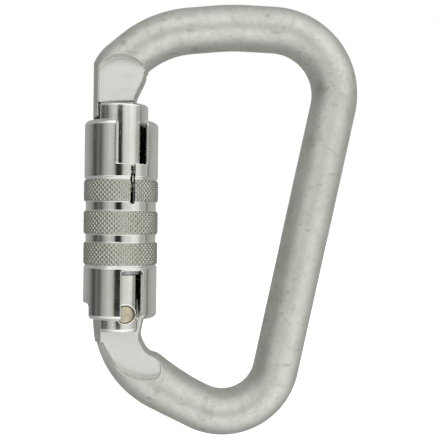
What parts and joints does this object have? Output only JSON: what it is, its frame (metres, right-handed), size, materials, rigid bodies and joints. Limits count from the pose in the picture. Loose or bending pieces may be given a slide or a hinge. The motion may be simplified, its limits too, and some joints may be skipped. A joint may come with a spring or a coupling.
{
  "type": "locking carabiner",
  "caption": "D-shaped round-bar steel carabiner with a sprung inward-opening gate and an automatic sleeve that is pulled down and turned to free it.",
  "frame": {"origin": "centre of the carabiner's bounding box", "axes": "+Z along its length towards the nose end, +X from the gate towards the spine, -Y towards the viewer"},
  "size_m": [0.0732, 0.0198, 0.1153],
  "materials": {
    "galvanised_steel": "satin zinc-coated forged steel with fine specks",
    "polished_steel": "bright zinc-plated turned steel",
    "rivet_steel": "dressed rivet end with a warm tint",
    "spring_steel": "plain drawn spring wire and stamped rings"
  },
  "bodies": {
    "frame": {"frame_body": "galvanised_steel"},
    "gate": {"gate_barrel": "polished_steel", "hinge_rivet": "rivet_steel", "closing_spring": "spring_steel", "sleeve_retainer": "spring_steel", "spring_seat": "spring_steel", "sleeve_spring": "spring_steel"},
    "plunger": {"closing_plunger": "spring_steel"},
    "slider": {"thrust_washer": "spring_steel"},
    "sleeve": {"locking_sleeve": "polished_steel"}
  },
  "joints": [
    {"name": "gate_hinge", "type": "hinge", "parent": "frame", "child": "gate", "pos_m": [-0.0245, 0, -0.025], "axis": [0, 1, 0], "range_deg": [0, 25], "stiffness_Nm_per_rad": 0.45, "springref_deg": -28.65},
    {"name": "plunger_slide", "type": "slide", "parent": "gate", "child": "plunger", "axis": [0, 0, 1], "range_m": [0, 0.00125], "deforming": ["closing_spring"]},
    {"name": "sleeve_slide", "type": "slide", "parent": "gate", "child": "slider", "axis": [0, 0, -1], "range_m": [0, 0.0025], "stiffness_N_per_m": 1500, "springref_m": -0.004, "deforming": ["sleeve_spring"]},
    {"name": "sleeve_twist", "type": "hinge", "parent": "slider", "child": "sleeve", "pos_m": [-0.02675, 0, 0], "axis": [0, 0, -1], "range_deg": [0, 115], "stiffness_Nm_per_rad": 0.04, "springref_deg": -85.94}
  ],
  "couplings": [
    {"joint": "plunger_slide", "follows": "gate_hinge", "m_per_rad": 0.00275}
  ]
}
